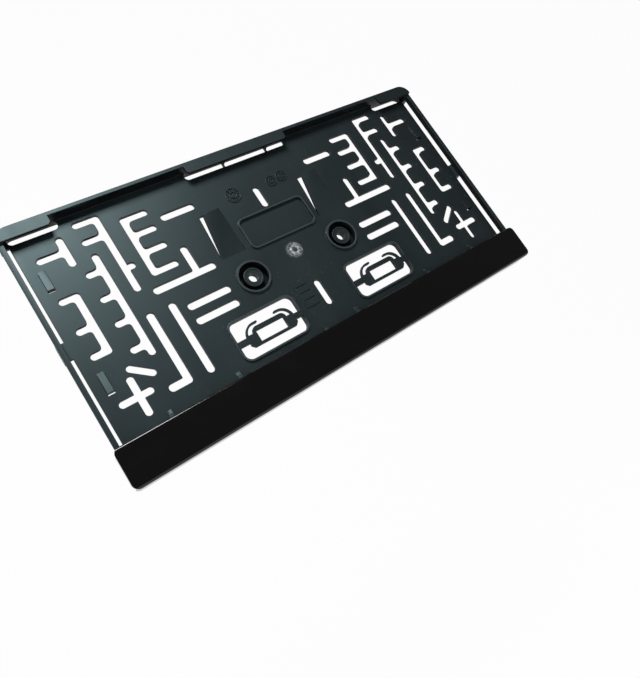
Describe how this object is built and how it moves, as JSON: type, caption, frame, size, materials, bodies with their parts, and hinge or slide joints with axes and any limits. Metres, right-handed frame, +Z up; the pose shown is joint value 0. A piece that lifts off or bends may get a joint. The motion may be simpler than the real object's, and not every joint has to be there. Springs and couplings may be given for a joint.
{
  "type": "number plate holder",
  "caption": "Slotted plastic number plate holder with a raised rim, plate lips, spring tongues, screw bosses and a glossy clip-on front strip.",
  "frame": {"origin": "midway between the two screw holes, on the back plane that rests on the car", "axes": "upright as fixed to a car: the plate side faces -Y, +Z is up, +X is to the right seen from the front"},
  "size_m": [0.3196, 0.015, 0.1656],
  "materials": {
    "base_plate": "satin moulded",
    "front_strip": "high gloss"
  },
  "bodies": {
    "root": {"base_plate": "base_plate", "front_strip": "front_strip"}
  },
  "joints": []
}
